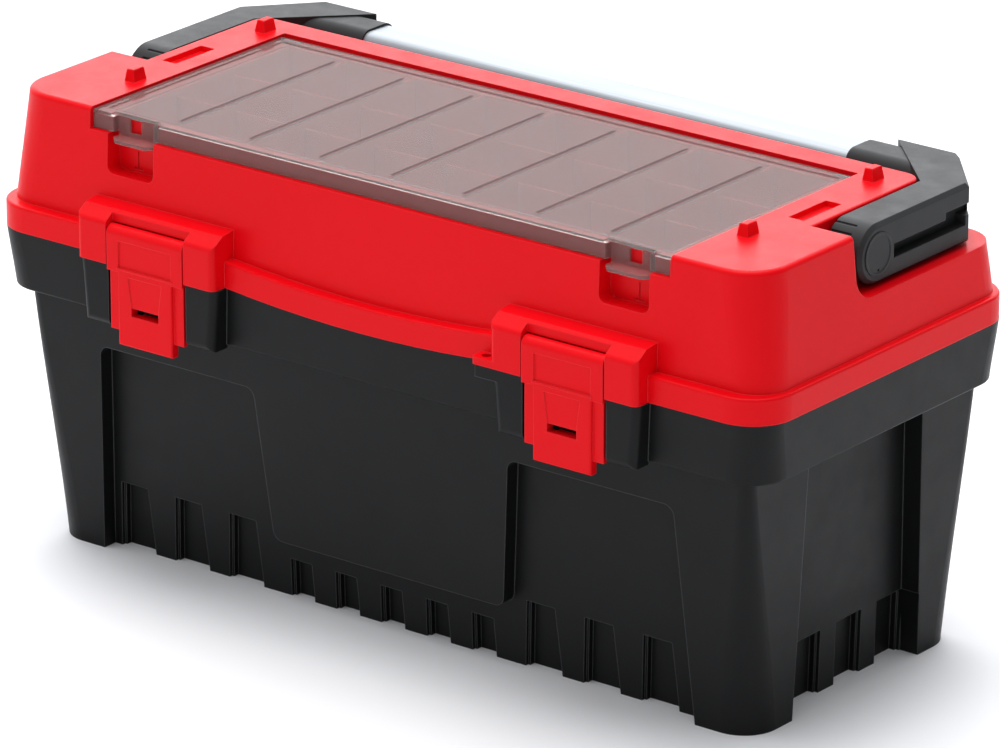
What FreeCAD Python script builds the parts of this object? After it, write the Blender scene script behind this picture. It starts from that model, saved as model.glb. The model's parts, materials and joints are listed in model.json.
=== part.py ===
import FreeCAD, Part
import Sketcher
import os
import re

# Toolbox with a lift-out tray, an organizer under a clear cover in the lid, and a folding carrying handle.
# Millimetres. +X runs along the box, -Y is the front with the two latches, +Z is up.
# The origin is on the floor, under the middle of the base.

DIMS = {
    # Wall thicknesses and gaps
    "wall": 3.0,
    "thin_wall": 2.0,
    "gap": 0.4,
    "running_gap": 0.05,
    "far": 400.0,
    # Base, below its rim
    "foot_half_length": 270.3,
    "foot_half_width": 104.2,
    "shoulder_half_length": 275.4,
    "shoulder_half_width": 117.8,
    "foot_corner_radius": 7.5,
    "shoulder_corner_radius": 23.0,
    "side_panel_depth": 10.5,
    "end_panel_depth": 13.0,
    "panel_top": 139.0,
    "pillar_foot": 230.0,
    "pillar_top": 219.4,
    "end_pillar_foot": 64.2,
    "end_pillar_top": 57.1,
    "centre_foot": 88.5,
    "centre_top": 97.7,
    "centre_bottom": 40.3,
    "panel_corner_radius": 7.0,
    # Pockets along the foot of the base
    "pocket_depth": 6.5,
    "pocket_height": 44.0,
    "pocket_half_foot": 13.1,
    "pocket_half_top": 9.7,
    "pocket_pitch": 43.5,
    "pocket_shift": 5.8,
    "end_pocket_shift": 7.7,
    "end_pocket_height": 40.5,
    "end_pocket_half": 12.2,
    "end_pocket_pitch": 41.7,
    "small_pocket_height": 25.2,
    "small_pocket_half": 8.4,
    "small_pocket_pitch": 35.2,
    "groove_width": 1.6,
    "groove_depth": 2.6,
    # Rim of the base
    "rim_bottom": 167.9,
    "rim_top": 206.4,
    "rim_half_length": 293.0,
    "rim_front": 129.3,
    "rim_back": 124.0,
    "rim_taper": 2.6,
    "rim_foot_radius": 21.0,
    "rim_radius": 25.0,
    "smile_half": 104.9,
    "smile_dip": 5.7,
    # Lid
    "lip_bottom": 206.7,
    "lip_top": 223.2,
    "lip_half_length": 295.0,
    "lip_front": 131.5,
    "lip_back": 125.7,
    "lip_radius": 28.0,
    "lip_edge": 1.8,
    "lid_root_half_length": 291.6,
    "lid_root_front": 123.5,
    "lid_root_back": 121.6,
    "lid_root_radius": 27.0,
    "lid_top": 294.7,
    "lid_top_half_length": 283.1,
    "lid_top_front": 119.7,
    "lid_top_back": 117.0,
    "lid_top_radius": 22.0,
    "lid_edge": 3.2,
    "shelf_height": 254.8,
    "shelf_edge": 6.5,
    "plateau_back": 85.4,
    "notch_wall": 253.6,
    "notch_front": -28.5,
    "notch_foot_radius": 14.0,
    "plateau_corner": 12.0,
    "notch_edge": 1.6,
    "plateau_slot_inner": 233.3,
    "plateau_slot_outer": 244.6,
    "plateau_slot_front": -23.6,
    "plateau_slot_back": 14.0,
    "plateau_slot_depth": 3.6,
    "boss_inner": 238.0,
    "stud_inner": 228.6,
    "stud_outer": 236.8,
    "stud_centre": 62.4,
    "stud_half": 5.9,
    "stud_height": 7.8,
    # Recess for the clear cover and the organizer below it
    "cover_half_length": 219.4,
    "cover_front": 117.2,
    "cover_back": 64.6,
    "cover_top": 292.9,
    "cover_thickness": 2.6,
    "ledge_height": 289.9,
    "ledge_bottom": 283.4,
    "skirt_bottom": 281.3,
    "bay_half_length": 211.0,
    "bay_front": 107.0,
    "bay_back": 58.8,
    "bins_bottom": 245.0,
    "column_pitch": 54.5,
    "bin_plate_front": -51.3,
    "bin_plate_back": 2.7,
    "bin_plate": 1.6,
    "rib_half": 0.8,
    "clip_centre": 187.4,
    "clip_half": 15.8,
    "clip_set_back": 4.5,
    "finger_pocket_half": 18.2,
    "finger_pocket_bottom": 256.0,
    "finger_pocket_face": 109.5,
    "key_place": 190.4,
    "key_height": 12.0,
    "key_depth": 1.0,
    "tab_bottom": 276.2,
    "tab_thickness": 2.2,
    "tab_reach": 121.8,
    "cover_axis_back": 62.8,
    "cover_axis_height": 291.1,
    "cover_barrel_radius": 1.8,
    "cover_pin_radius": 0.9,
    # Latch housings on the lid, latches and their pads on the base
    "latch_centre": 159.0,
    "housing_half": 53.9,
    "housing_front": 142.5,
    "housing_bottom": 206.5,
    "housing_top": 233.3,
    "housing_slope_back": 133.0,
    "housing_slope_top": 239.6,
    "latch_bay_half": 30.7,
    "latch_bay_face": 130.6,
    "latch_brow_face": 135.6,
    "latch_half": 29.7,
    "latch_front": 142.8,
    "latch_axis_front": 137.5,
    "latch_axis_height": 226.6,
    "latch_top_radius": 5.3,
    "latch_plate": 3.6,
    "latch_plate_bottom": 203.5,
    "flange_bottom": 165.5,
    "flange_set_back": 2.2,
    "tongue_half": 21.3,
    "tongue_bottom": 156.8,
    "latch_pin_radius": 1.5,
    "pad_half": 54.0,
    "pad_foot_half": 50.6,
    "pad_front": 140.6,
    "pad_bottom": 165.7,
    "keeper_face": 133.2,
    "keeper_bottom": 177.0,
    "keeper_height": 5.4,
    "hook_height": 5.0,
    "eye_reach": 13.0,
    "eye_radius": 3.1,
    # Rear hinge
    "hinge_back": 132.2,
    "hinge_height": 208.4,
    "hinge_centre": 150.0,
    "knuckle_radius": 5.5,
    "knuckle_half": 13.0,
    "hinge_half": 30.0,
    "hinge_pin_radius": 2.5,
    # Carrying handle
    "pivot_back": 0.8,
    "pivot_height": 275.4,
    "arm_radius": 18.6,
    "arm_top": 294.0,
    "arm_outer": 280.5,
    "arm_inner": 255.4,
    "arm_elbow": 93.0,
    "arm_back": 133.4,
    "arm_tip": 200.7,
    "arm_cut": 245.5,
    "arm_inner_elbow": 78.5,
    "hub_radius": 14.0,
    "pivot_pin_radius": 4.0,
    "cap_radius": 13.3,
    "cap_dot_radius": 0.9,
    "arm_slot_front": 16.5,
    "arm_slot_bottom": 268.6,
    "arm_slot_top": 277.4,
    "arm_groove_radius": 0.9,
    "arm_groove_length": 15.0,
    "screw_place": 232.0,
    "screw_radius": 2.0,
    "screw_head_radius": 3.6,
    "grip_back": 115.9,
    "grip_height": 279.4,
    "grip_half_depth": 15.3,
    "grip_half_height": 12.3,
    "grip_round": 7.7,
    "grip_half_length": 240.0,
    "sleeve_extra": 1.4,
    "sleeve_start": 186.0,
    # Lift-out tray
    "tray_half_length": 250.0,
    "tray_half_width": 88.0,
    "tray_foot_half_length": 244.0,
    "tray_foot_half_width": 83.0,
    "tray_bottom": 108.5,
    "tray_top": 173.2,
    "tray_flange_half_length": 284.0,
    "tray_grip_half": 75.0,
    "tray_grip_top": 203.0,
    "tray_plate_place": 82.0,
    "tray_plate": 1.8,
}

doc = FreeCAD.newDocument("Toolbox")
sheet = doc.addObject("Spreadsheet::Sheet", "Dims")
for row, (alias, value) in enumerate(DIMS.items(), start=1):
    sheet.set(f"A{row}", alias)
    sheet.set(f"B{row}", str(value))
    sheet.setAlias(f"B{row}", alias)
doc.recompute()

AXIS_TURNS = {
    "x": FreeCAD.Rotation(FreeCAD.Vector(0, 1, 0), 90),
    "z": FreeCAD.Rotation(),
}
pieces = {}


# ---- Small builders: every size is an expression on the sheet ----

def cell(alias):
    return float(sheet.get(alias))


def named(expression):
    """The expression with each alias written as the sheet's own cell."""
    return re.sub(r"[a-z_]+", lambda m: f"Dims.{m.group()}" if m.group() in DIMS else m.group(), expression)


def bind(thing, prop, expression):
    """Drives one property from the sheet, whose aliases the expression uses by name."""
    thing.setExpression(prop, named(expression))


def block(name, x, y, z):
    """A box between a low and a high expression along each axis."""
    box = doc.addObject("Part::Box", name)
    for side, prop, (low, high) in zip("xyz", ("Length", "Width", "Height"), (x, y, z)):
        bind(box, f"Placement.Base.{side}", low)
        bind(box, prop, f"({high}) - ({low})")
    return box


def rod(name, axis, centre, radius, low, high):
    """A cylinder along an axis; centre holds its two other coordinates in X, Y, Z order."""
    cylinder = doc.addObject("Part::Cylinder", name)
    cylinder.Placement = FreeCAD.Placement(FreeCAD.Vector(), AXIS_TURNS[axis])
    across = iter(centre)
    for side in "xyz":
        bind(cylinder, f"Placement.Base.{side}", low if side == axis else next(across))
    bind(cylinder, "Radius", radius)
    bind(cylinder, "Height", f"({high}) - ({low})")
    return cylinder


def tapered(name, z, bottom, top):
    """A block whose outline (x low, x high, y low, y high) changes evenly from its bottom to its top."""
    wedge = doc.addObject("Part::Wedge", name)
    wedge.Placement = FreeCAD.Placement(FreeCAD.Vector(), FreeCAD.Rotation(FreeCAD.Vector(1, 0, 0), 90))
    bind(wedge, "Ymin", z[0])
    bind(wedge, "Ymax", z[1])
    for prefix, outline in (("", bottom), ("2", top)):
        x_low, x_high, y_low, y_high = outline
        bind(wedge, f"X{prefix}min", x_low)
        bind(wedge, f"X{prefix}max", x_high)
        bind(wedge, f"Z{prefix}min", f"-({y_high})")
        bind(wedge, f"Z{prefix}max", f"-({y_low})")
    return wedge


def outline(sketch, points):
    """Draws a closed outline of straight lines; the sheet drives both coordinates of every corner."""
    corners = [FreeCAD.Vector(*(sheet.evalExpression(named(value)) for value in point)) for point in points]
    count = len(points)
    for i in range(count):
        sketch.addGeometry(Part.LineSegment(corners[i], corners[(i + 1) % count]), False)
    for i in range(count):
        sketch.addConstraint(Sketcher.Constraint("Coincident", i, 2, (i + 1) % count, 1))
    for i, (point, corner) in enumerate(zip(points, corners)):
        place_point(sketch, i, 1, point, corner)


def place_point(sketch, line, end, point, rough):
    """Fixes one end of a sketched line at two expressions."""
    for kind, value, start in (("DistanceX", point[0], rough.x), ("DistanceY", point[1], rough.y)):
        index = sketch.addConstraint(Sketcher.Constraint(kind, -1, 1, line, end, start))
        bind(sketch, f"Constraints[{index}]", value)


SKETCH_TURNS = {
    "xy": FreeCAD.Rotation(),
    "xz": FreeCAD.Rotation(FreeCAD.Vector(1, 0, 0), 90),
    "yz": FreeCAD.Rotation(FreeCAD.Vector(1, 1, 1), 120),
}
THROUGH = {"xy": "z", "xz": "y", "yz": "x"}


def extruded(name, sketch, plane, low, high):
    """Extrudes a sketch from one expression to another along the axis square to its plane."""
    side = THROUGH[plane]
    sketch.Placement = FreeCAD.Placement(FreeCAD.Vector(), SKETCH_TURNS[plane])
    bind(sketch, f"Placement.Base.{side}", low)
    extrusion = doc.addObject("Part::Extrusion", name)
    extrusion.Base = sketch
    extrusion.DirMode = "Custom"
    extrusion.Dir = FreeCAD.Vector(side == "x", side == "y", side == "z")
    extrusion.Solid = True
    bind(extrusion, "LengthFwd", f"({high}) - ({low})")
    return extrusion


def prism(name, plane, points, low, high):
    """A straight-sided outline in a plane, extruded across it."""
    sketch = doc.addObject("Sketcher::SketchObject", f"{name}_sketch")
    outline(sketch, points)
    return extruded(name, sketch, plane, low, high)


def smile(name, z_low, z_high, y_low, y_high):
    """A band between the latches, whose lower and upper edges dip in the middle by the same arc."""
    sketch = doc.addObject("Sketcher::SketchObject", f"{name}_sketch")
    half = cell("smile_half")
    dip = cell("smile_dip")
    corners = {}
    for level, height in enumerate((z_low, z_high)):
        z = sheet.evalExpression(named(height))
        places = ((-half, 0), (0, dip), (half, 0))
        left, middle, right = (FreeCAD.Vector(x, z - drop, 0) for x, drop in places)
        sketch.addGeometry(Part.Arc(left, middle, right), False)
        corners[level] = (left, right)
    for end in (0, 1):
        sketch.addGeometry(Part.LineSegment(corners[0][end], corners[1][end]), False)
    for line, end in ((2, 1), (3, 2)):
        for level in (0, 1):
            sketch.addConstraint(Sketcher.Constraint("Coincident", level, end, line, level + 1))
    for level, height in enumerate((z_low, z_high)):
        for end, x in ((1, "-smile_half"), (2, "smile_half")):
            place_point(sketch, level, end, (x, height), corners[level][end - 1])
        radius = (half * half + dip * dip) / (2 * dip)
        index = sketch.addConstraint(Sketcher.Constraint("Radius", level, radius))
        bind(sketch, f"Constraints[{index}]",
             "(smile_half * smile_half + smile_dip * smile_dip) / (2 * smile_dip)")
    return extruded(name, sketch, "xz", y_low, y_high)


def fused(name, things):
    fusion = doc.addObject("Part::MultiFuse", name)
    fusion.Shapes = things
    fusion.Refine = True
    return fusion


def common(name, first, second):
    shared = doc.addObject("Part::Common", name)
    shared.Base = first
    shared.Tool = second
    return shared


def cut(name, thing, tools):
    """Takes one or more tools away from a thing."""
    difference = doc.addObject("Part::Cut", name)
    difference.Base = thing
    difference.Tool = tools[0] if len(tools) == 1 else fused(f"{name}_tools", tools)
    difference.Refine = True
    return difference


def mirrored(name, source):
    """The same shape on the other side of the middle plane."""
    other = doc.addObject("Part::Mirroring", name)
    other.Source = source
    other.Normal = FreeCAD.Vector(1, 0, 0)
    return other


def with_mirror(source):
    return [source, mirrored(f"{source.Name}_mirror", source)]


def rounded(name, thing, radius, pick, kind="Fillet", upper=None):
    """Fillets or chamfers the edges that a test picks; upright ones may end in another radius at the top."""
    doc.recompute()
    corners = FreeCAD.BoundBox()
    for vertex in thing.Shape.Vertexes:
        corners.add(vertex.Point)
    softened = doc.addObject(f"Part::{kind}", name)
    softened.Base = thing
    rising = (radius, radius if upper is None else upper)
    softened.Edges = [(i, *(rising if edge.Vertexes[0].Z <= edge.Vertexes[-1].Z else rising[::-1]))
                      for i, edge in enumerate(thing.Shape.Edges, start=1) if pick(edge, corners)]
    return softened


def span(edge):
    return edge.Vertexes[-1].Point - edge.Vertexes[0].Point


def upright(edge, box):
    return abs(span(edge).z) > 0.8 * edge.Length


def along_y(edge, box):
    return abs(span(edge).y) > 0.9 * edge.Length


def along_x(edge, box):
    return abs(span(edge).x) > 0.9 * edge.Length


def on_top(edge, box):
    return all(abs(vertex.Z - box.ZMax) < 0.01 for vertex in edge.Vertexes)


def at_bottom(edge, box):
    return all(abs(vertex.Z - box.ZMin) < 0.01 for vertex in edge.Vertexes)


def at_front(edge, box):
    return all(abs(vertex.Y - box.YMin) < 0.01 for vertex in edge.Vertexes)


def piece(label, thing):
    """Names a finished sub-part, which also names its file."""
    thing.Label = label
    pieces[label] = thing
    return thing


def turned_pin(label, radius, x, y, z):
    """A round pin along X, as a body with one padded circle."""
    body = doc.addObject("PartDesign::Body", f"{label}_body")
    sketch = body.newObject("Sketcher::SketchObject", f"{label}_circle")
    plane = next(p for p in body.Origin.OriginFeatures if p.Role == "YZ_Plane")
    sketch.AttachmentSupport = [(plane, "")]
    sketch.MapMode = "FlatFace"
    sketch.addGeometry(Part.Circle(FreeCAD.Vector(), FreeCAD.Vector(0, 0, 1), cell(radius)), False)
    sketch.addConstraint(Sketcher.Constraint("Coincident", 0, 3, -1, 1))
    index = sketch.addConstraint(Sketcher.Constraint("Radius", 0, cell(radius)))
    bind(sketch, f"Constraints[{index}]", radius)
    pad = body.newObject("PartDesign::Pad", f"{label}_pad")
    pad.Profile = sketch
    bind(pad, "Length", f"({x[1]}) - ({x[0]})")
    for side, value in zip("xyz", (x[0], y, z)):
        bind(body, f"Placement.Base.{side}", value)
    return piece(label, body)


def pin_pair(label, radius, x, y, z):
    """Two equal pins, one each side of the middle plane."""
    turned_pin(f"{label}_right", radius, x, y, z)
    turned_pin(f"{label}_left", radius, (f"-({x[1]})", f"-({x[0]})"), y, z)


# ---- Base ----

def base_outline(end_inset, side_inset):
    """Outlines of the base at the floor and under the rim, set in from its ends and its sides."""
    outlines = []
    for level in ("foot", "shoulder"):
        x = f"{level}_half_length - ({end_inset})"
        y = f"{level}_half_width - ({side_inset})"
        outlines.append((f"-({x})", x, f"-({y})", y))
    return outlines


def base_form(name, inset):
    """The base below its rim, set in all round: panels lie back between the pillars and the centre panels."""
    height = ("0", "rim_bottom + 4")
    skin_block = tapered(f"{name}_skin", height, *base_outline(inset, inset))
    core = tapered(f"{name}_core", height,
                   *base_outline(f"end_panel_depth + {inset}", f"side_panel_depth + {inset}"))
    grown = sheet.evalExpression(named(inset))
    skin = rounded(f"{name}_skin_round", skin_block, cell("foot_corner_radius") - grown, upright,
                   upper=cell("shoulder_corner_radius") - grown)
    side_points = [
        (f"-pillar_foot - {inset}", "-20"), (f"pillar_foot + {inset}", "-20"),
        (f"pillar_top + {inset}", f"panel_top + {inset}"), (f"centre_top - {inset}", f"panel_top + {inset}"),
        (f"centre_foot - {inset}", f"centre_bottom - {inset}"),
        (f"-centre_foot + {inset}", f"centre_bottom - {inset}"),
        (f"-centre_top + {inset}", f"panel_top + {inset}"),
        (f"-pillar_top - {inset}", f"panel_top + {inset}"),
    ]
    side_prism = prism(f"{name}_side_panels", "xz", side_points, "-far", "far")
    side_panels = rounded(f"{name}_side_panels_round", side_prism, cell("panel_corner_radius"), along_y)
    end_points = [
        (f"-end_pillar_foot - {inset}", "0"), (f"end_pillar_foot + {inset}", "0"),
        (f"end_pillar_top + {inset}", "rim_bottom + 5"), (f"-end_pillar_top - {inset}", "rim_bottom + 5"),
    ]
    end_panels = prism(f"{name}_end_panels", "yz", end_points, "-far", "far")
    panels = cut(f"{name}_panels", fused(f"{name}_panel_prisms", [side_panels, end_panels]), [core])
    return cut(name, skin, [panels])


def pocket(name, plane, centre, half_foot, half_top, height):
    """A through prism that narrows upwards, for one pocket at the foot of the base."""
    points = [(f"{centre} - ({half_foot})", "-1"), (f"{centre} + {half_foot}", "-1"),
              (f"{centre} + {half_top}", height), (f"{centre} - ({half_top})", height)]
    return prism(name, plane, points, "-far", "far")


def pocket_groove(name, plane, centre, half_foot, half_top, height, side):
    """A narrow prism along one wall of a pocket, for the groove that sharpens its outer edge."""
    points = [(f"{centre} {side} ({half_foot} - 1)", "-1"),
              (f"{centre} {side} ({half_foot} + groove_width)", "-1"),
              (f"{centre} {side} ({half_top} + groove_width)", height),
              (f"{centre} {side} ({half_top} - 1)", height)]
    return prism(name, plane, points, "-far", "far")


def foot_pockets():
    """Pockets along the foot: groups of three under the side panels and in each end, five in the middle."""
    rows = []
    for i in (-1, 0, 1):
        for label, middle in (("left", "-latch_centre"), ("right", "latch_centre")):
            rows.append((f"{label}_{i + 1}", "xz", f"{middle} - pocket_shift + ({i}) * pocket_pitch",
                         "pocket_half_foot", "pocket_half_top", "pocket_height", "-"))
        rows.append((f"end_{i + 1}", "yz", f"end_pocket_shift + ({i}) * end_pocket_pitch",
                     "end_pocket_half", "end_pocket_half", "end_pocket_height", "+"))
    for i in (-2, -1, 0, 1, 2):
        rows.append((f"middle_{i + 2}", "xz", f"({i}) * small_pocket_pitch - pocket_shift",
                     "small_pocket_half", "small_pocket_half - 1", "small_pocket_height", "-"))
    prisms = []
    grooves = []
    for label, plane, centre, half_foot, half_top, height, side in rows:
        prisms.append(pocket(f"pocket_{label}", plane, centre, half_foot, half_top, height))
        grooves.append(pocket_groove(f"groove_{label}", plane, centre, half_foot, half_top, height, side))
    cutters = []
    for name, depth, things in (("pocket", "pocket_depth", prisms), ("groove", "groove_depth", grooves)):
        core = tapered(f"{name}_core", ("-2", "rim_bottom"),
                       *base_outline(f"end_panel_depth + {depth}", f"side_panel_depth + {depth}"))
        cutters.append(cut(f"foot_{name}s", fused(f"{name}_prisms", things), [core]))
    return cutters


def base_cavity():
    """The inside of the base: it follows the panels and the pillars, and narrows behind the foot pockets."""
    room = base_form("cavity_form", "wall")
    above = block("cavity_above_pockets", ("-far", "far"), ("-far", "far"), ("pocket_height + wall", "far"))
    upper = common("cavity_upper", room, above)
    narrow = tapered("cavity_narrow", ("0", "rim_bottom + 4"),
                     *base_outline("end_panel_depth + pocket_depth + wall",
                                   "side_panel_depth + pocket_depth + wall"))
    floor = block("cavity_floor", ("-far", "far"), ("-far", "far"), ("wall", "pocket_height + wall + 1"))
    return fused("base_cavity", [upper, common("cavity_lower", narrow, floor)])


def rim(name, inset, z):
    """The wide band round the top of the base, a little narrower at its foot."""
    outlines = []
    for taper in ("rim_taper", "0"):
        x = f"rim_half_length - {taper} - {inset}"
        outlines.append((f"-({x})", x, f"-(rim_front - {taper} - {inset})", f"rim_back - {taper} - {inset}"))
    grown = sheet.evalExpression(named(inset))
    return rounded(name, tapered(f"{name}_block", z, *outlines), cell("rim_foot_radius") - grown, upright,
                   upper=cell("rim_radius") - grown)


def latch_pad():
    """The pad under one latch housing, with the bay that the latch lies in and its keeper."""
    points = [("latch_centre - pad_foot_half", "pad_bottom"), ("latch_centre + pad_foot_half", "pad_bottom"),
              ("latch_centre + pad_half", "housing_bottom - gap"),
              ("latch_centre - pad_half", "housing_bottom - gap")]
    slab = prism("pad_slab", "xz", points, "-pad_front", "-rim_front + rim_taper + 1")
    soft = rounded("pad_round", slab, 5.0,
                   lambda edge, box: at_front(edge, box) and (upright(edge, box) or at_bottom(edge, box)))
    bay = block("pad_bay", ("latch_centre - latch_bay_half", "latch_centre + latch_bay_half"),
                ("-far", "-latch_bay_face"), ("0", "far"))
    keeper = block("pad_keeper", ("latch_centre - 9", "latch_centre + 9"),
                   ("-keeper_face", "-latch_bay_face + 1"),
                   ("keeper_bottom", "keeper_bottom + keeper_height"))
    return fused("latch_pad", [cut("pad_with_bay", soft, [bay]), keeper])


def eye(name, y, z):
    """A flat lug beside the right-hand latch, with an upright hole for a padlock."""
    x = ("latch_centre - housing_half - eye_reach", "latch_centre - housing_half + 8")
    lug = block(f"{name}_lug", x, y, z)
    soft = rounded(f"{name}_round", lug, 2.0, lambda edge, box: upright(edge, box) and span(edge).z != 0
                   and all(vertex.X < box.XMin + 0.01 for vertex in edge.Vertexes))
    hole = rod(f"{name}_hole", "z",
               ("latch_centre - housing_half - eye_reach / 2", "-(pad_front + lip_front) / 2"),
               "eye_radius", "0", "far")
    return cut(name, soft, [hole])


def knuckles(name, spans, web_y, web_z):
    """Hinge barrels with flat webs, over each of the given stretches along X."""
    parts = []
    for i, x in enumerate(spans):
        parts.append(rod(f"{name}_barrel_{i}", "x", ("hinge_back", "hinge_height"), "knuckle_radius", *x))
        parts.append(block(f"{name}_web_{i}", x, web_y, web_z))
    return fused(name, parts)


def base_tub():
    """The black base moulding."""
    form = cut("base_with_pockets", base_form("base_form", "0"), foot_pockets())
    band = rounded("rim_soft", rim("rim_band", "0", ("rim_bottom", "rim_top")), 1.5, at_bottom)
    barrels = knuckles("base_knuckles", [("hinge_centre - hinge_half", "hinge_centre - knuckle_half - gap"),
                                         ("hinge_centre + knuckle_half + gap", "hinge_centre + hinge_half")],
                       ("rim_back - 1", "hinge_back"), ("hinge_height - knuckle_radius", "lip_bottom - 0.6"))
    black_eye = eye("base_eye", ("-pad_front", "-lip_front - gap"),
                    ("housing_bottom - gap - 8", "housing_bottom - gap"))
    pads = with_mirror(latch_pad())
    solid = fused("base_solid", [form, band, black_eye] + pads + with_mirror(barrels))
    room = rim("rim_room", "wall", ("rim_bottom + wall", "rim_top + 1"))
    dip = smile("rim_smile", "rim_top", "rim_top + 30", "-pad_front", "-rim_front + 2 * wall")
    bore = rod("base_hinge_bore", "x", ("hinge_back", "hinge_height"), "hinge_pin_radius",
               "hinge_centre - hinge_half - 1", "hinge_centre + hinge_half + 1")
    piece("base_tub", cut("base_tub", solid, [base_cavity(), room, dip] + with_mirror(bore)))


# ---- Lid ----

def lid_form(name, inset, z):
    """The tapered lid between two heights, set in all round."""
    outlines = []
    for level in ("root", "top"):
        x = f"lid_{level}_half_length - {inset}"
        outlines.append((f"-({x})", x, f"-(lid_{level}_front - {inset})", f"lid_{level}_back - {inset}"))
    return rounded(name, tapered(f"{name}_block", z, *outlines), cell("lid_root_radius"), upright,
                   upper=cell("lid_top_radius"))


def back_space(name, grow, z_low, corner, foot):
    """The U-shaped space round the back and the ends of the plateau, where the handle folds away."""
    z = (z_low, "far")
    right = block(f"{name}_notch", (f"notch_wall - {grow}", "far"), (f"notch_front - {grow}", "far"), z)
    back = block(f"{name}_back", ("-far", "far"), (f"plateau_back - {grow}", "far"), z)
    whole = fused(name, with_mirror(right) + [back])
    inner_corners = rounded(f"{name}_corners", whole, corner, lambda edge, box: upright(edge, box)
                            and abs(edge.Vertexes[0].X) < 300 and edge.Vertexes[0].Y > 50
                            and edge.Vertexes[0].Y < 200)
    return rounded(f"{name}_feet", inner_corners, foot, lambda edge, box: along_x(edge, box)
                   and at_bottom(edge, box) and edge.Vertexes[0].Y < 0)


def plateau_edge(edge, box):
    """Edges round the top where the plateau was cut back for the handle."""
    middle = edge.CenterOfMass
    behind = middle.y > cell("notch_front") + 0.5
    return on_top(edge, box) and behind and abs(middle.x) < cell("notch_wall") + 0.5


def lid_outside():
    lip_sides = ("-lip_half_length", "lip_half_length", "-lip_front", "lip_back")
    lip_block = tapered("lip_block", ("lip_bottom", "lip_top"), lip_sides, lip_sides)
    lip = rounded("lip", lip_block, cell("lip_radius"), upright)
    soft_lip = rounded("lip_soft", lip, cell("lip_edge"), on_top)
    front_gap = block("lip_front_gap", ("-smile_half", "smile_half"), ("-far", "-lid_root_front + wall"),
                      ("0", "far"))
    dipped_band = smile("lip_smile", "lip_bottom", "lip_top", "-lip_front", "-lid_root_front + wall")
    dipped = rounded("lip_smile_soft", dipped_band, 1.5,
                     lambda edge, box: at_front(edge, box) and along_x(edge, box)
                     and edge.CenterOfMass.z > cell("lip_bottom") + 5)
    height = ("lip_top - smile_dip - 4", "lid_top")
    plateau_block = rounded("plateau_soft", lid_form("plateau_form", "0", height), cell("lid_edge"), on_top)
    space = back_space("handle_space", "0", "shelf_height", cell("plateau_corner"), cell("notch_foot_radius"))
    soft_plateau = rounded("plateau", cut("plateau_cut", plateau_block, [space]),
                           cell("notch_edge"), plateau_edge)
    above_shelf = block("above_shelf", ("-far", "far"), ("-far", "far"), ("shelf_height", "far"))
    shelf = rounded("shelf", cut("shelf_cut", lid_form("shelf_form", "0", height), [above_shelf]),
                    cell("shelf_edge"), on_top)
    return [cut("lip_with_gap", soft_lip, [front_gap]), dipped, soft_plateau, shelf]


def lid_cavity():
    """The inside of the lid, kept clear of the handle space, the cover's recess and the finger pockets."""
    room = lid_form("lid_room", "wall", ("lip_bottom - 1", "lid_top - wall"))
    keep = [
        back_space("handle_space_grown", "wall", "shelf_height - wall", cell("plateau_corner"),
                   cell("notch_foot_radius")),
        block("cover_ledge", ("-bay_half_length - 12", "bay_half_length + 12"), ("-far", "cover_back + 5"),
              ("ledge_bottom", "far")),
        block("thick_front", ("-bay_half_length - 12", "bay_half_length + 12"), ("-far", "-bay_front - 1"),
              ("finger_pocket_bottom - wall", "far")),
    ]
    keep += with_mirror(block("slot_floor", ("plateau_slot_inner - wall", "plateau_slot_outer + wall"),
                              ("plateau_slot_front - wall", "plateau_slot_back + wall"),
                              ("lid_top - plateau_slot_depth - thin_wall", "far")))
    return cut("lid_cavity", room, keep)


def cover_recess():
    """Everything cut from the top and front of the lid for the clear cover, its skirt and its clips."""
    x = ("-cover_half_length - gap", "cover_half_length + gap")
    top = block("recess_top", x, ("-far", "cover_back + 1"), ("ledge_height", "far"))
    skirt = block("recess_skirt", x, ("-far", "-cover_front + 2.1"), ("skirt_bottom - gap", "far"))
    opening = block("recess_opening", ("-bay_half_length - 0.2", "bay_half_length + 0.2"),
                    ("-bay_front - 0.2", "bay_back + 0.2"), ("ledge_bottom - 1", "far"))
    finger_block = block("finger_block",
                         ("clip_centre - finger_pocket_half", "clip_centre + finger_pocket_half"),
                         ("-far", "-finger_pocket_face"), ("finger_pocket_bottom", "far"))
    finger = rounded("finger_pocket", finger_block, 5.0,
                     lambda edge, box: along_y(edge, box) and at_bottom(edge, box))
    groove = block("hinge_groove", x, ("cover_back - 5", "cover_back + 1"), ("ledge_height - 1.4", "far"))
    key_y = ("-finger_pocket_face - 1", "-finger_pocket_face + key_depth")
    key_foot = "finger_pocket_bottom + 1.5"
    key = block("pocket_key", ("key_place - 0.6", "key_place + 0.6"), key_y,
                (key_foot, f"{key_foot} + key_height"))
    bar = block("pocket_key_bar", ("key_place - 3.5", "key_place + 3.5"), key_y,
                (key_foot, f"{key_foot} + 1.8"))
    return [top, skirt, opening, groove] + with_mirror(fused("finger_tools", [finger, key, bar]))


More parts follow.
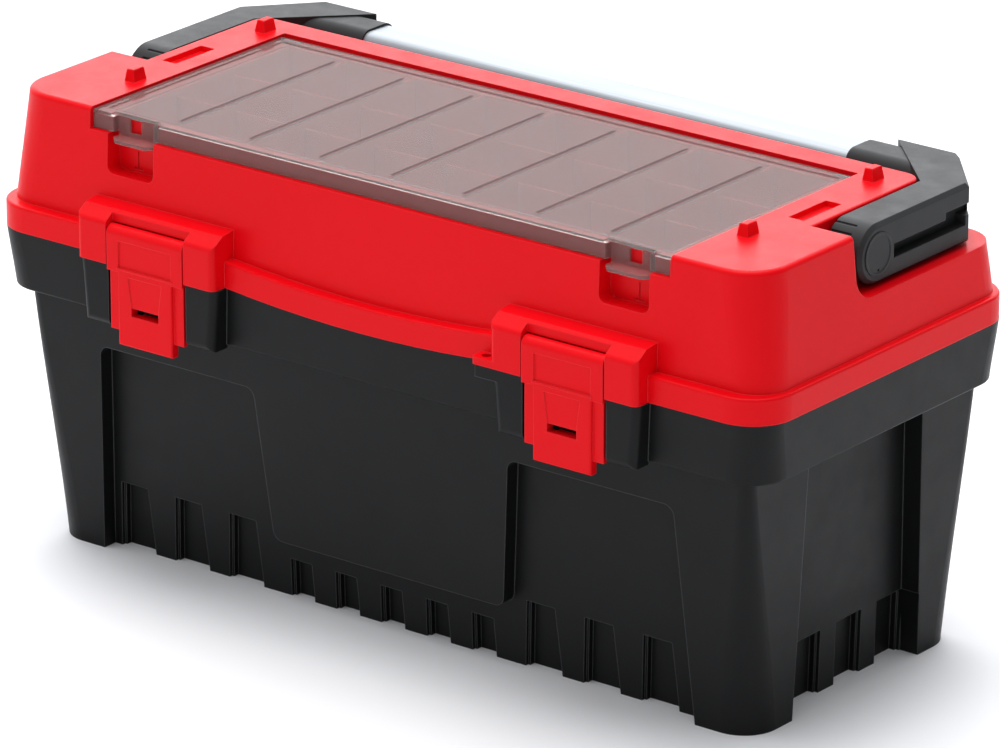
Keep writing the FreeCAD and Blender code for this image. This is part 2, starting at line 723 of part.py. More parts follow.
def latch_housing():
    """The block on the lid that holds one latch between its cheeks."""
    points = [("-housing_front", "housing_bottom"), ("-lid_root_front + 2", "housing_bottom"),
              ("-lid_root_front + 2", "housing_slope_top + 1.5"),
              ("-housing_slope_back", "housing_slope_top"), ("-housing_front", "housing_top")]
    wedge = prism("housing_wedge", "yz", points, "latch_centre - housing_half", "latch_centre + housing_half")
    soft = rounded("housing_soft", wedge, 4.0,
                   lambda edge, box: at_front(edge, box) and not at_bottom(edge, box))
    bay_x = ("latch_centre - latch_bay_half", "latch_centre + latch_bay_half")
    low_bay = block("housing_bay_low", bay_x, ("-far", "-latch_bay_face"),
                    ("0", "latch_axis_height + latch_top_radius + gap"))
    high_bay = block("housing_bay_high", bay_x, ("-far", "-latch_brow_face"), ("latch_axis_height", "far"))
    bay = fused("housing_bay", [low_bay, high_bay])
    bore = rod("housing_bore", "x", ("-latch_axis_front", "latch_axis_height"), "latch_pin_radius",
               "latch_centre - latch_bay_half - 5", "latch_centre + latch_bay_half + 5")
    return cut("latch_housing", soft, [bay, bore])


def stud(name, y):
    """A small tapered peg on the plateau, which a second box would locate on."""
    foot = ("stud_inner", "stud_outer", f"{y} - stud_half", f"{y} + stud_half")
    tip = ("stud_inner + 1.4", "stud_outer - 1.4", f"{y} - stud_half + 1.2", f"{y} + stud_half - 1.2")
    height = ("lid_top - 1", "lid_top + stud_height")
    return rounded(name, tapered(f"{name}_block", height, foot, tip), 0.8, on_top)


def lid_shell():
    """The red lid moulding."""
    barrel = knuckles("lid_knuckle", [("hinge_centre - knuckle_half", "hinge_centre + knuckle_half")],
                      ("lid_root_back - 1", "hinge_back"),
                      ("lip_bottom + 1.5", "hinge_height + knuckle_radius"))
    additions = [eye("lid_eye", ("-housing_front", "-lip_front + 1"),
                     ("housing_bottom", "housing_bottom + 4.7"))]
    additions += with_mirror(latch_housing()) + with_mirror(barrel)
    for label, y in (("front", "-stud_centre"), ("back", "stud_centre")):
        additions += with_mirror(stud(f"{label}_stud", y))
    body = cut("lid_hollow", fused("lid_solid", lid_outside() + additions), [lid_cavity()])
    boss = rod("pivot_boss", "x", ("pivot_back", "pivot_height"), "pivot_pin_radius + wall + 2",
               "boss_inner", "notch_wall - 1")
    catch = block("clip_catch", ("clip_centre - 2.5", "clip_centre + 7"),
                  ("-finger_pocket_face - gap", "-finger_pocket_face + 1"),
                  ("skirt_bottom + 0.6", "ledge_height"))
    slot = block("plateau_slot", ("plateau_slot_inner", "plateau_slot_outer"),
                 ("plateau_slot_front", "plateau_slot_back"), ("lid_top - plateau_slot_depth", "far"))
    pivot_bore = rod("pivot_bore", "x", ("pivot_back", "pivot_height"), "pivot_pin_radius + running_gap",
                     "boss_inner - 1", "notch_wall + 1")
    hinge_bore = rod("lid_hinge_bore", "x", ("hinge_back", "hinge_height"), "hinge_pin_radius + running_gap",
                     "hinge_centre - knuckle_half - 1", "hinge_centre + knuckle_half + 1")
    cover_bore = rod("lid_cover_bore", "x", ("cover_axis_back", "cover_axis_height"), "cover_pin_radius",
                     "cover_half_length - 1", "cover_half_length + 8")
    tools = cover_recess()
    for tool in (slot, pivot_bore, hinge_bore, cover_bore):
        tools += with_mirror(tool)
    shell = cut("lid_shell_cut", fused("lid_with_bosses", [body] + with_mirror(boss)), tools)
    piece("lid_shell", fused("lid_shell", [shell] + with_mirror(catch)))


# ---- Organizer and its clear cover ----

def column_spans():
    """The eight spaces between the organizer's walls, along X."""
    walls = [f"({i}) * column_pitch" for i in (-3, -2, -1, 0, 1, 2, 3)]
    lows = ["-bay_half_length + thin_wall"] + [f"{wall} + 1" for wall in walls]
    highs = [f"{wall} - 1" for wall in walls] + ["bay_half_length - thin_wall"]
    return list(zip(lows, highs))


def organizer():
    """The organizer hangs in the lid's opening; slid-in walls make columns, and two plates divide each."""
    box = block("bins_box", ("-bay_half_length", "bay_half_length"), ("-bay_front", "bay_back"),
                ("bins_bottom", "ledge_height - 1"))
    flange = block("bins_flange", ("-bay_half_length - 5", "bay_half_length + 5"),
                   ("-bay_front", "bay_back + 4"), ("ledge_bottom - 2.6", "ledge_bottom - 0.1"))
    room = block("bins_room", ("-bay_half_length + thin_wall", "bay_half_length - thin_wall"),
                 ("-bay_front + thin_wall", "bay_back - thin_wall"), ("bins_bottom + thin_wall", "far"))
    piece("organizer_bins", cut("organizer_bins", fused("bins_solid", [box, flange]), [room]))
    walls = [block(f"bin_wall_{i + 3}", (f"({i}) * column_pitch - 1", f"({i}) * column_pitch + 1"),
                   ("-bay_front + thin_wall + running_gap", "bay_back - thin_wall - running_gap"),
                   ("bins_bottom + thin_wall", "ledge_height - 1")) for i in (-3, -2, -1, 0, 1, 2, 3)]
    piece("organizer_walls", fused("organizer_walls", walls))
    plates = []
    for i, (low, high) in enumerate(column_spans()):
        for j, y in enumerate(("bin_plate_front", "bin_plate_back")):
            plates.append(block(f"bin_plate_{i}_{j}", (f"{low} + running_gap", f"{high} - running_gap"),
                                (y, f"{y} + bin_plate"), ("bins_bottom + thin_wall", "ledge_height - 5")))
    piece("organizer_dividers", fused("organizer_dividers", plates))


def cover_clip():
    """One end of the skirt, stepped in behind a window, with a finger tab along its foot."""
    low = "clip_centre - clip_half"
    high = "clip_centre + clip_half"
    face = "-cover_front + clip_set_back"
    inner = f"{face} + 1.7"
    panel = block("clip_panel", (low, high), (face, inner), ("tab_bottom", "cover_top - 1"))
    tab_block = block("clip_tab_block", (low, high), ("-tab_reach", inner),
                      ("tab_bottom", "tab_bottom + tab_thickness"))
    tab = rounded("clip_tab", tab_block, 4.0,
                  lambda edge, box: upright(edge, box) and at_front(edge, box), "Chamfer")
    cheeks = [block(f"clip_cheek_{i}", x, ("-cover_front", inner), ("skirt_bottom", "cover_top - 1"))
              for i, x in enumerate(((f"{low} - 1.7", low), (high, f"{high} + 1.7")))]
    window = block("clip_window", ("clip_centre - 2.5", "clip_centre + 7"), ("-far", "far"),
                   ("skirt_bottom", "ledge_height + 0.6"))
    return cut("cover_clip", fused("clip_whole", [panel, tab] + cheeks), [window])


def clear_cover():
    """The clear lid over the organizer, with a hinge barrel at its back and two clips at its front."""
    x = ("-cover_half_length", "cover_half_length")
    underside = "cover_top - cover_thickness"
    plate = block("cover_plate", x, ("-cover_front", "cover_axis_back"), (underside, "cover_top"))
    skirt = block("cover_skirt", x, ("-cover_front", "-cover_front + 1.7"), ("skirt_bottom", "cover_top - 1"))
    barrel = rod("cover_barrel", "x", ("cover_axis_back", "cover_axis_height"), "cover_barrel_radius", *x)
    ribs = [block(f"cover_rib_{i + 3}",
                  (f"({i}) * column_pitch - rib_half", f"({i}) * column_pitch + rib_half"),
                  ("-101.9", "45.5"), (f"{underside} - 0.9", "cover_top - 1"))
            for i in (-3, -2, -1, 0, 1, 2, 3)]
    step = block("clip_step", ("clip_centre - clip_half - 1.7", "clip_centre + clip_half + 1.7"),
                 ("-far", "-cover_front + clip_set_back"), ("0", "far"))
    dish = block("cover_dish", ("-cover_half_length + 6", "cover_half_length - 6"),
                 ("-cover_front + 8", "cover_back - 9"), ("cover_top - 0.5", "far"))
    bore = rod("cover_bore", "x", ("cover_axis_back", "cover_axis_height"), "cover_pin_radius + running_gap",
               "cover_half_length - 15", "cover_half_length + 1")
    sheet_part = cut("cover_sheet", fused("cover_sheet_solid", [plate, skirt, barrel] + ribs),
                     [dish] + with_mirror(step) + with_mirror(bore))
    piece("clear_cover", fused("clear_cover", [sheet_part] + with_mirror(cover_clip())))
    pin_pair("cover_hinge_pin", "cover_pin_radius", ("cover_half_length - 14", "cover_half_length + 7"),
             "cover_axis_back", "cover_axis_height")


# ---- Latches ----

def latch():
    """One latch: a plate that hangs from its pin, with side flanges, a tongue and a hook behind it."""
    def across(half):
        return (f"latch_centre - ({half})", f"latch_centre + ({half})")

    back = "-latch_front + latch_plate"
    plate = block("latch_upper", across("latch_half"), ("-latch_front", back),
                  ("latch_plate_bottom", "latch_axis_height"))
    roll = rod("latch_roll", "x", ("-latch_axis_front", "latch_axis_height"), "latch_top_radius",
               *across("latch_half"))
    flange = block("latch_flange", across("latch_half - 0.8"),
                   ("-latch_front + flange_set_back", f"{back} + flange_set_back"),
                   ("flange_bottom", "latch_plate_bottom + 1"))
    tongue = block("latch_tongue", across("tongue_half"), ("-latch_front", f"{back} + flange_set_back"),
                   ("tongue_bottom", "latch_plate_bottom + 1"))
    soft_tongue = rounded("latch_tongue_soft", tongue, 1.2,
                          lambda edge, box: at_front(edge, box) and not on_top(edge, box))
    ridge = block("latch_ridge", across("tongue_half + 0.5"), ("-latch_front - 0.6", back),
                  ("latch_plate_bottom + 1.6", "latch_plate_bottom + 3"))
    hook = block("latch_hook", across("8"), (back, "-keeper_face - gap"),
                 ("keeper_bottom - gap - hook_height", "keeper_bottom - gap"))
    panel = block("latch_panel", across("tongue_half - 0.5"), ("-far", "-latch_front + 0.9"),
                  ("latch_plate_bottom + 3", "latch_plate_bottom + 20"))
    taper = prism("latch_taper", "xz",
                  [("latch_centre - 10.5", "keeper_bottom + keeper_height - 0.4"),
                   ("latch_centre + 10.5", "keeper_bottom + keeper_height - 0.4"),
                   ("latch_centre + 13.3", "latch_plate_bottom - 2"),
                   ("latch_centre - 13.3", "latch_plate_bottom - 2")],
                  "-far", "-latch_front + 0.6")
    slot = block("latch_slot", across("10.8"), ("-far", "far"),
                 ("keeper_bottom", "keeper_bottom + keeper_height - 0.2"))
    bore = rod("latch_bore", "x", ("-latch_axis_front", "latch_axis_height"),
               "latch_pin_radius + running_gap",
               *across("latch_half + 1"))
    body = cut("latch_body", fused("latch_solid", [plate, roll, flange, soft_tongue, ridge]),
               [panel, taper, slot, bore])
    right = piece("latch_right", fused("latch_right", [body, hook]))
    piece("latch_left", mirrored("latch_left", right))
    pin_pair("latch_pin", "latch_pin_radius",
             ("latch_centre - latch_half - 4", "latch_centre + latch_half + 4"),
             "-latch_axis_front", "latch_axis_height")


# ---- Carrying handle ----

def grip_block(name, grow, x):
    """The handle's rounded section, grown all round, over a stretch along X."""
    solid = block(f"{name}_block", x,
                  (f"grip_back - grip_half_depth - {grow}", f"grip_back + grip_half_depth + {grow}"),
                  (f"grip_height - grip_half_height - {grow}", f"grip_height + grip_half_height + {grow}"))
    return rounded(name, solid, cell("grip_round") + sheet.evalExpression(named(grow)), along_x)


def screw_cutters(name):
    """Shank and head of the screw that holds the tube's end in the arm, from below."""
    foot = "pivot_height - arm_radius"
    shank = rod(f"{name}_shank", "z", ("screw_place", "grip_back"), "screw_radius", f"{foot} + 1",
                "grip_height - grip_half_height + thin_wall")
    head = rod(f"{name}_head", "z", ("screw_place", "grip_back"), "screw_head_radius", f"{foot} + 0.6",
               f"{foot} + 3")
    return fused(name, [shank, head])


def handle():
    """An aluminium tube between two moulded arms, which pivot in the notches at the ends of the lid."""
    points = [("arm_inner", "pivot_back - arm_radius"), ("arm_outer", "pivot_back - arm_radius"),
              ("arm_outer", "arm_elbow"), ("arm_cut", "arm_back"), ("arm_tip", "arm_back"),
              ("arm_inner", "arm_inner_elbow")]
    blank = prism("arm_blank", "xy", points, "pivot_height - arm_radius", "arm_top")
    nose = rod("arm_nose", "x", ("pivot_back", "pivot_height"), "arm_radius", "0", "far")
    behind = block("arm_behind", ("0", "far"), ("pivot_back", "far"), ("0", "far"))
    profile = common("arm_profile", blank, fused("arm_side", [nose, behind]))
    bevelled = rounded("arm_bevelled", profile, 2.4, lambda edge, box: on_top(edge, box)
                       and edge.CenterOfMass.x > cell("arm_inner") + 1, "Chamfer")
    hub = rod("arm_hub", "x", ("pivot_back", "pivot_height"), "hub_radius", "notch_wall + gap",
              "arm_inner + 1")
    slot = block("arm_slot", ("arm_outer - 8", "far"), ("arm_slot_front", "arm_elbow - 3"),
                 ("arm_slot_bottom", "arm_slot_top"))
    slot_step = block("arm_slot_step", ("arm_outer - 8", "far"), ("arm_elbow - 24", "arm_elbow + 6"),
                      ("arm_slot_top - 3", "arm_slot_top + 4.5"))
    grips = [rod(f"arm_grip_{angle}", "x",
                 (f"pivot_back - arm_radius * cos({angle})", f"pivot_height + arm_radius * sin({angle})"),
                 "arm_groove_radius", "arm_inner - 1", "arm_inner + arm_groove_length") for angle in (45, 66)]
    seat = rod("cap_seat", "x", ("pivot_back", "pivot_height"), "cap_radius", "arm_outer - 4", "far")
    bore = rod("arm_bore", "x", ("pivot_back", "pivot_height"), "pivot_pin_radius", "200", "arm_outer - 3")
    socket = grip_block("arm_socket", "sleeve_extra", ("100", "grip_half_length"))
    screw = screw_cutters("handle_screw_right")
    arm = cut("handle_arm_right", fused("arm_with_hub", [bevelled, hub]),
              [slot, slot_step, seat, bore, socket, screw] + grips)
    piece("handle_arm_right", arm)
    piece("handle_arm_left", mirrored("handle_arm_left", arm))

    hollow = grip_block("sleeve_inside", "0", ("100", "far"))
    sleeve = cut("handle_sleeve_right", grip_block("sleeve_outside", "sleeve_extra",
                                                   ("sleeve_start", "grip_half_length")), [hollow, screw])
    piece("handle_sleeve_right", sleeve)
    piece("handle_sleeve_left", mirrored("handle_sleeve_left", sleeve))

    tube_x = ("-grip_half_length", "grip_half_length")
    inside = grip_block("tube_inside", "-thin_wall", ("-far", "far"))
    tube = cut("handle_tube", grip_block("tube_outside", "0", tube_x), [inside] + with_mirror(screw))
    piece("handle_tube", tube)
    piece("handle_screws", fused("handle_screws", with_mirror(screw)))
    pin_pair("handle_pivot_pin", "pivot_pin_radius", ("boss_inner + 1", "arm_outer - 4"),
             "pivot_back", "pivot_height")
    for label, low, high in (("right", "arm_outer - 4", "arm_outer + 0.6"),
                             ("left", "-arm_outer - 0.6", "-arm_outer + 4")):
        disc = rod(f"cap_disc_{label}", "x", ("pivot_back", "pivot_height"), "cap_radius", low, high)
        dimple = rod(f"cap_dimple_{label}", "x", ("pivot_back", "pivot_height"), "cap_radius - 1.6",
                     *(("arm_outer + 0.2", "far") if label == "right" else ("-far", "-arm_outer - 0.2")))
        dot = rod(f"cap_dot_{label}", "x", ("pivot_back", "pivot_height - cap_radius + 3.4"),
                  "cap_dot_radius",
                  *(("arm_outer - 1", "far") if label == "right" else ("-far", "-arm_outer + 1")))
        piece(f"handle_pivot_cap_{label}", cut(f"handle_pivot_cap_{label}", disc, [dimple, dot]))


# ---- Lift-out tray ----

def tray():
    """The tray hangs by its end flanges on the ledge inside the rim."""
    outlines = []
    inner = []
    for level in ("tray_foot", "tray"):
        for target, inset in ((outlines, "0"), (inner, "thin_wall")):
            x = f"{level}_half_length - {inset}"
            y = f"{level}_half_width - {inset}"
            target.append((f"-({x})", x, f"-({y})", y))
    box = rounded("tray_box", tapered("tray_block", ("tray_bottom", "tray_top"), *outlines), 12.0, upright)
    flange_block = block("tray_flange_block", ("-tray_flange_half_length", "tray_flange_half_length"),
                         ("-tray_half_width - 3", "tray_half_width + 3"),
                         ("rim_bottom + wall + gap", "tray_top"))
    flange = rounded("tray_flange", flange_block, 12.0, upright)
    room = rounded("tray_room",
                   tapered("tray_room_block", ("tray_bottom + thin_wall", "tray_top + 1"), *inner),
                   10.0, upright)
    wall = block("tray_wall", ("-tray_half_length + 1", "tray_half_length - 1"), ("-1.2", "1.2"),
                 ("tray_bottom + 1", "tray_top - 2"))
    leg_x = ("tray_grip_half - 5", "tray_grip_half")
    leg_z = ("tray_bottom + thin_wall", "tray_grip_top")
    legs = with_mirror(block("grip_leg", leg_x, ("-7", "7"), leg_z))
    bar_block = block("grip_bar_block", ("-tray_grip_half", "tray_grip_half"), ("-7", "7"),
                      ("tray_grip_top - 9", "tray_grip_top"))
    bar = rounded("grip_bar", bar_block, 3.0, along_x)
    hollow = cut("tray_hollow", fused("tray_solid", [box, flange]), [room])
    notches = with_mirror(block("grip_notch", leg_x, ("-7", "7"), leg_z))
    notched = cut("tray_wall_notched", wall, notches)
    piece("tool_tray", fused("tool_tray", [hollow, notched]))
    piece("tray_grip", fused("tray_grip", legs + [bar]))
    plate = block("tray_plate", ("tray_plate_place", "tray_plate_place + tray_plate"),
                  ("-tray_foot_half_width + thin_wall + gap", "-1.2"),
                  ("tray_bottom + thin_wall", "tray_top - 6"))
    piece("tray_dividers", fused("tray_dividers", with_mirror(plate)))


base_tub()
lid_shell()
organizer()
clear_cover()
latch()
handle()
tray()
pin_pair("lid_hinge_pin", "hinge_pin_radius", ("hinge_centre - hinge_half", "hinge_centre + hinge_half"),
         "hinge_back", "hinge_height")
doc.recompute()

for thing in doc.Objects:
    if {"Invalid", "Error"} & set(thing.State):
        raise RuntimeError(f"{thing.Name} failed: {thing.State}")
for label, thing in pieces.items():
    if thing.Shape.isNull() or not thing.Shape.isValid():
        raise RuntimeError(f"{label} has no valid shape")
os.makedirs("parts", exist_ok=True)
for label, thing in pieces.items():
    thing.Shape.exportStep(f"parts/{label}.step")
    print(label, len(thing.Shape.Solids), round(thing.Shape.Volume / 1000, 1), "cm3")
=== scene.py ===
import bpy
import json
import math
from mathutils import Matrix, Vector

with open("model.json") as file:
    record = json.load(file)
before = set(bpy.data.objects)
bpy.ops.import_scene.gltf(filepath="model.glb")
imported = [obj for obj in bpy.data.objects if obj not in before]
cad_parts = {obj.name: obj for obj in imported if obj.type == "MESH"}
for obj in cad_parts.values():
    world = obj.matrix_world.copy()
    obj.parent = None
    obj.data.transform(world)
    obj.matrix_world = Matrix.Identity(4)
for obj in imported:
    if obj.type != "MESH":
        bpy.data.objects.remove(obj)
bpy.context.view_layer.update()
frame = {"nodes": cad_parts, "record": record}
nodes = frame["nodes"]


# ---- Materials ----

BEVEL_SAMPLES = 6
RIB_PITCH = 0.0545           # the cover's ribs lie over the organizer's long walls
RIB_HALF_WIDTH = 0.0013
RIBS_WITHIN = 3.2 * RIB_PITCH
RIB_MIDDLE = -0.0282         # middle of the ribs' run, front to back
RIB_HALF_RUN = 0.0737


class Nodes:
    """A short way to build one node tree: add nodes, set their inputs and link them."""

    def __init__(self, name):
        self.material = bpy.data.materials.new(name)
        self.material.use_nodes = True
        self.tree = self.material.node_tree
        self.tree.nodes.clear()
        self.output = self.add("ShaderNodeOutputMaterial")
        self.shader = self.add("ShaderNodeBsdfPrincipled")
        self.link(self.shader, "BSDF", self.output, "Surface")
        self.place = self.add("ShaderNodeTexCoord")

    def add(self, kind, **inputs):
        node = self.tree.nodes.new(kind)
        for key, value in inputs.items():
            node.inputs[key.replace("_", " ")].default_value = value
        return node

    def link(self, source, out, target, into):
        self.tree.links.new(source.outputs[out], target.inputs[into])

    def noise(self, scale, detail=3.0, roughness=0.5, stretch=(1.0, 1.0, 1.0)):
        """Noise in object space; scale is in features per metre, and stretch squeezes it along an axis."""
        mapping = self.add("ShaderNodeMapping", Scale=stretch)
        self.link(self.place, "Object", mapping, "Vector")
        noise = self.add("ShaderNodeTexNoise", Scale=scale, Detail=detail, Roughness=roughness)
        self.link(mapping, "Vector", noise, "Vector")
        return noise

    def ranged(self, source, out, low, high, start=0.0, end=1.0):
        """Remaps a value between two limits."""
        remap = self.add("ShaderNodeMapRange")
        for key, value in (("From Min", start), ("From Max", end), ("To Min", low), ("To Max", high)):
            remap.inputs[key].default_value = value
        self.link(source, out, remap, "Value")
        return remap

    def blended(self, factor, out, first, second):
        """Mixes two colours by a value; a colour mix takes them at 6 and 7 and gives its result at 2."""
        mix = self.add("ShaderNodeMix")
        mix.data_type = "RGBA"
        mix.inputs[6].default_value = (*first, 1.0)
        mix.inputs[7].default_value = (*second, 1.0)
        self.tree.links.new(factor.outputs[out], mix.inputs[0])
        return mix

    def maths(self, operation, *values):
        """A math node, given back as a (node, output) pair; a value is such a pair or a number."""
        node = self.add("ShaderNodeMath")
        node.operation = operation
        for i, value in enumerate(values):
            if isinstance(value, tuple):
                self.link(value[0], value[1], node, i)
            else:
                node.inputs[i].default_value = value
        return (node, "Value")

    def recolour(self, mix, factor, tint):
        """Lays a further colour over an earlier mix where a factor, a (node, output) pair, is 1."""
        over = self.blended(factor[0], factor[1], tint, tint)
        self.tree.links.new(mix.outputs[2], over.inputs[6])
        return over

    def edge_wear_and_highlight(self, soft):
        """Edge mask for the paler edges, partly wear and partly a painted highlight: 1 on edges, where the
        softened normal leaves the surface's own, and 0 on flat parts.
        """
        edge, even = 0.72, 0.985       # cosines of the turn at which a spot counts as edge or as flat
        flat = self.add("ShaderNodeNewGeometry")
        turn = self.add("ShaderNodeVectorMath")
        turn.operation = "DOT_PRODUCT"
        self.link(soft, "Normal", turn, 0)
        self.link(flat, "Normal", turn, 1)
        return (self.ranged(turn, "Value", 1.0, 0.0, edge, even), "Result")

    def colour(self, mix):
        """Takes a mix as the surface's colour."""
        self.tree.links.new(mix.outputs[2], self.shader.inputs["Base Color"])


def moulded_plastic(name, colour, drifted, wear_and_highlight_colour, roughness, specular, grain, edge=0.0008):
    """Satin moulding: fine grain, slow drift to a second colour, and soft edges painted paler, partly as
    wear and partly as a painted highlight.
    """
    nodes_of = Nodes(name)
    shader = nodes_of.shader
    shader.inputs["Specular IOR Level"].default_value = specular
    soft = nodes_of.add("ShaderNodeBevel", Radius=edge)
    soft.samples = BEVEL_SAMPLES
    drift = nodes_of.noise(7.0, 2.0)
    fine = nodes_of.noise(1500.0, 2.0, 0.6)
    bump = nodes_of.add("ShaderNodeBump", Strength=grain, Distance=0.0002)
    nodes_of.link(fine, "Fac", bump, "Height")
    nodes_of.link(soft, "Normal", bump, "Normal")
    nodes_of.link(bump, "Normal", shader, "Normal")
    scuffs = nodes_of.noise(60.0, 6.0, 0.7)
    rough = nodes_of.ranged(scuffs, "Fac", roughness - 0.05, roughness + 0.07, 0.3, 0.7)
    nodes_of.link(rough, "Result", shader, "Roughness")
    amount = nodes_of.ranged(drift, "Fac", 0.0, 0.35, 0.35, 0.65)
    body = nodes_of.blended(amount, "Result", colour, drifted)
    # edges painted paler: partly wear, partly a painted highlight line
    nodes_of.colour(nodes_of.recolour(body, nodes_of.edge_wear_and_highlight(soft), wear_and_highlight_colour))
    return nodes_of.material


def satin_aluminium(name):
    """Anodised extrusion: a satin metal with fine draw lines along its length."""
    nodes_of = Nodes(name)
    shader = nodes_of.shader
    shader.inputs["Metallic"].default_value = 1.0
    shader.inputs["Anisotropic"].default_value = 0.4
    lines = nodes_of.noise(900.0, 3.0, 0.6, (0.01, 1.0, 1.0))
    rough = nodes_of.ranged(lines, "Fac", 0.44, 0.58, 0.3, 0.7)
    nodes_of.link(rough, "Result", shader, "Roughness")
    bump = nodes_of.add("ShaderNodeBump", Strength=0.06, Distance=0.0001)
    nodes_of.link(lines, "Fac", bump, "Height")
    nodes_of.link(bump, "Normal", shader, "Normal")
    tone = nodes_of.ranged(lines, "Fac", 0.0, 1.0, 0.35, 0.65)
    nodes_of.colour(nodes_of.blended(tone, "Result", (0.318, 0.343, 0.370), (0.406, 0.432, 0.458)))
    return nodes_of.material


def drawn_steel(name):
    """Plain pin stock: a bright metal with fine marks round each pin, since the pins run along X."""
    nodes_of = Nodes(name)
    shader = nodes_of.shader
    shader.inputs["Metallic"].default_value = 1.0
    marks = nodes_of.noise(700.0, 4.0, 0.6, (1.0, 0.1, 0.1))
    rough = nodes_of.ranged(marks, "Fac", 0.25, 0.42, 0.3, 0.7)
    nodes_of.link(rough, "Result", shader, "Roughness")
    nodes_of.colour(nodes_of.blended(marks, "Fac", (0.48, 0.48, 0.50), (0.60, 0.60, 0.62)))
    return nodes_of.material


def smoky_clear(name):
    """Tinted clear plastic: painted shade along its ribs, edges painted paler as wear and a painted
    highlight, with faint flow lines.
    """
    nodes_of = Nodes(name)
    shader = nodes_of.shader
    shader.inputs["Transmission Weight"].default_value = 0.86
    shader.inputs["Specular IOR Level"].default_value = 0.22
    shader.inputs["IOR"].default_value = 1.08
    soft = nodes_of.add("ShaderNodeBevel", Radius=0.0012)
    soft.samples = BEVEL_SAMPLES
    flow = nodes_of.noise(35.0, 2.0, 0.4, (0.4, 1.0, 1.0))
    bump = nodes_of.add("ShaderNodeBump", Strength=0.02, Distance=0.0002)
    nodes_of.link(flow, "Fac", bump, "Height")
    nodes_of.link(soft, "Normal", bump, "Normal")
    nodes_of.link(bump, "Normal", shader, "Normal")
    rough = nodes_of.ranged(flow, "Fac", 0.03, 0.08, 0.3, 0.7)
    nodes_of.link(rough, "Result", shader, "Roughness")
    tint = nodes_of.blended(flow, "Fac", (0.525, 0.475, 0.460), (0.570, 0.520, 0.505))

    split = nodes_of.add("ShaderNodeSeparateXYZ")
    nodes_of.link(nodes_of.place, "Object", split, "Vector")
    across = nodes_of.maths("PINGPONG", (split, "X"), RIB_PITCH / 2)
    on_line = nodes_of.maths("LESS_THAN", across, RIB_HALF_WIDTH)
    among = nodes_of.maths("LESS_THAN", nodes_of.maths("ABSOLUTE", (split, "X")), RIBS_WITHIN)
    along = nodes_of.maths("ABSOLUTE", nodes_of.maths("SUBTRACT", (split, "Y"), RIB_MIDDLE))
    in_run = nodes_of.maths("LESS_THAN", along, RIB_HALF_RUN)
    rib_shade_mask = nodes_of.maths("MULTIPLY", on_line, nodes_of.maths("MULTIPLY", among, in_run))
    # painted shade: dark lines along the ribs stand in for the darkness the ribs make inside the clear
    # cover
    rib_shaded = nodes_of.recolour(tint, rib_shade_mask, (0.16, 0.08, 0.08))
    # edges painted paler: partly wear, partly a painted highlight
    nodes_of.colour(nodes_of.recolour(rib_shaded, nodes_of.edge_wear_and_highlight(soft), (0.92, 0.90, 0.89)))
    return nodes_of.material


# the third colour of each plastic goes on its edges: partly wear, partly a painted highlight
finishes = {
    "red_plastic": moulded_plastic(
        "red_plastic", (0.80, 0.002, 0.007), (0.75, 0.002, 0.006), (0.88, 0.050, 0.060),
        roughness=0.36, specular=0.10, grain=0.05),
    "black_plastic": moulded_plastic(
        "black_plastic", (0.0075, 0.0080, 0.0082), (0.0100, 0.0103, 0.0105), (0.100, 0.101, 0.103),
        roughness=0.40, specular=0.13, grain=0.10, edge=0.0012),
    "arm_plastic": moulded_plastic(
        "arm_plastic", (0.026, 0.027, 0.028), (0.032, 0.033, 0.034), (0.075, 0.076, 0.078),
        roughness=0.44, specular=0.15, grain=0.12),
    "tray_plastic": moulded_plastic(
        "tray_plastic", (0.020, 0.0205, 0.021), (0.026, 0.027, 0.028), (0.050, 0.051, 0.052),
        roughness=0.45, specular=0.3, grain=0.10),
    "aluminium": satin_aluminium("aluminium"),
    "steel": drawn_steel("steel"),
    "smoky_clear": smoky_clear("smoky_clear"),
}
for subpart in frame["record"]["subparts"]:
    slots = nodes[subpart["node"]].data.materials
    slots.clear()
    slots.append(finishes[subpart["material_slot"]])


# ---- Floor, light and camera ----

AZIMUTH = math.radians(37.995)
ELEVATION = math.radians(20.411)
DISTANCE = 4.5722
TARGET = Vector((0.0, 0.00278, 0.13618))
FOCAL_MM = 270.18
SENSOR_MM = 36.0
SKY_BRIGHTEST = (-0.4, -0.12, 0.91)   # overhead and a little to the left
SKY_RISE = (0.12, 1.15)               # strength at right angles to that, and at its brightest
BACK_GLOW = 2.5                       # extra strength low behind the object
BACK_SPREAD = (0.62, 0.95)            # where that glow starts and is full, as a cosine from its middle


def towards(azimuth, elevation):
    """Unit vector from the object towards a viewer; azimuth 0 stands at -Y and turns towards +X."""
    return Vector((math.sin(azimuth) * math.cos(elevation), -math.cos(azimuth) * math.cos(elevation),
                   math.sin(elevation)))


def floor():
    """A wide pale plane with a faint, slow mottle."""
    reach = 14.0
    mesh = bpy.data.meshes.new("floor")
    mesh.from_pydata([(-reach, -reach, 0), (reach, -reach, 0), (reach, reach, 0), (-reach, reach, 0)], [],
                     [(0, 1, 2, 3)])
    plane = bpy.data.objects.new("floor", mesh)
    bpy.context.scene.collection.objects.link(plane)
    nodes_of = Nodes("floor_paint")
    nodes_of.shader.inputs["Specular IOR Level"].default_value = 0.1
    mottle = nodes_of.noise(1.5, 2.0)
    nodes_of.colour(nodes_of.blended(mottle, "Fac", (0.915, 0.92, 0.94), (0.935, 0.94, 0.955)))
    rough = nodes_of.ranged(mottle, "Fac", 0.8, 0.9)
    nodes_of.link(rough, "Result", nodes_of.shader, "Roughness")
    mesh.materials.append(nodes_of.material)


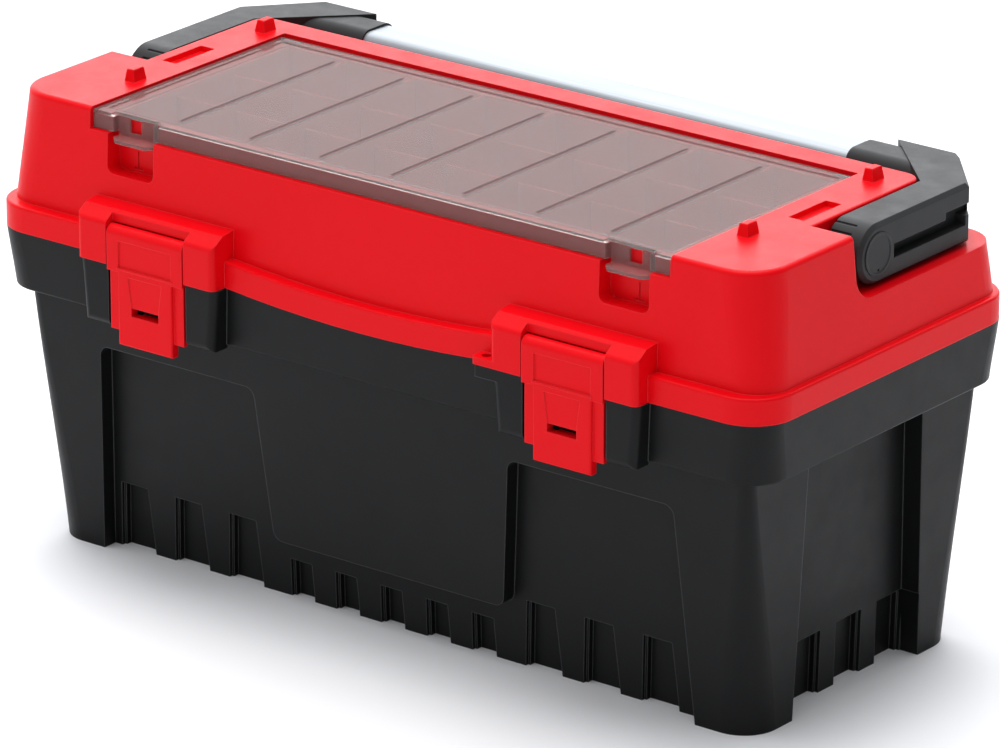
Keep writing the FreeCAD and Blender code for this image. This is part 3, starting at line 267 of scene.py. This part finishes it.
def sky():
    """Soft surroundings: dim at the front and sides, brighter overhead, brightest low behind the object."""
    world = bpy.data.worlds.new("studio")
    world.use_nodes = True
    tree = world.node_tree
    background = tree.nodes["Background"]
    place = tree.nodes.new("ShaderNodeTexCoord")

    def glow(direction, start, end, low, high):
        """Strength that rises from low to high as the view nears a direction."""
        dot = tree.nodes.new("ShaderNodeVectorMath")
        dot.operation = "DOT_PRODUCT"
        dot.inputs[1].default_value = direction
        remap = tree.nodes.new("ShaderNodeMapRange")
        for key, value in (("From Min", start), ("From Max", end), ("To Min", low), ("To Max", high)):
            remap.inputs[key].default_value = value
        tree.links.new(place.outputs["Generated"], dot.inputs[0])
        tree.links.new(dot.outputs["Value"], remap.inputs["Value"])
        return remap

    total = tree.nodes.new("ShaderNodeMath")
    total.operation = "ADD"
    behind = tuple(towards(AZIMUTH + math.pi, ELEVATION))
    above_glow = glow(SKY_BRIGHTEST, 0.0, 1.0, *SKY_RISE)
    back_glow = glow(behind, *BACK_SPREAD, 0.0, BACK_GLOW)
    tree.links.new(above_glow.outputs["Result"], total.inputs[0])
    tree.links.new(back_glow.outputs["Result"], total.inputs[1])
    tree.links.new(total.outputs["Value"], background.inputs["Strength"])
    background.inputs["Color"].default_value = (0.97, 0.98, 1.0, 1.0)
    bpy.context.scene.world = world


def softbox(name, place, target, size, power):
    """A square area light that faces a point."""
    light = bpy.data.lights.new(name, "AREA")
    light.size = size
    light.energy = power
    lamp = bpy.data.objects.new(name, light)
    lamp.location = place
    lamp.rotation_euler = (Vector(target) - Vector(place)).to_track_quat("-Z", "Y").to_euler()
    bpy.context.scene.collection.objects.link(lamp)


def camera():
    """A long lens from above the box's front right corner, aimed near its middle."""
    data = bpy.data.cameras.new("camera")
    data.lens = FOCAL_MM
    data.sensor_width = SENSOR_MM
    data.clip_end = 50.0
    viewer = bpy.data.objects.new("camera", data)
    back = towards(AZIMUTH, ELEVATION)
    viewer.location = TARGET + back * DISTANCE
    viewer.rotation_euler = (-back).to_track_quat("-Z", "Y").to_euler()
    bpy.context.scene.collection.objects.link(viewer)
    bpy.context.scene.camera = viewer


floor()
sky()
softbox("overhead", place=(-0.1, 0.1, 2.7), target=(0.0, 0.0, 0.2), size=1.5, power=43.0)
camera()
bpy.context.scene.view_settings.view_transform = "Standard"
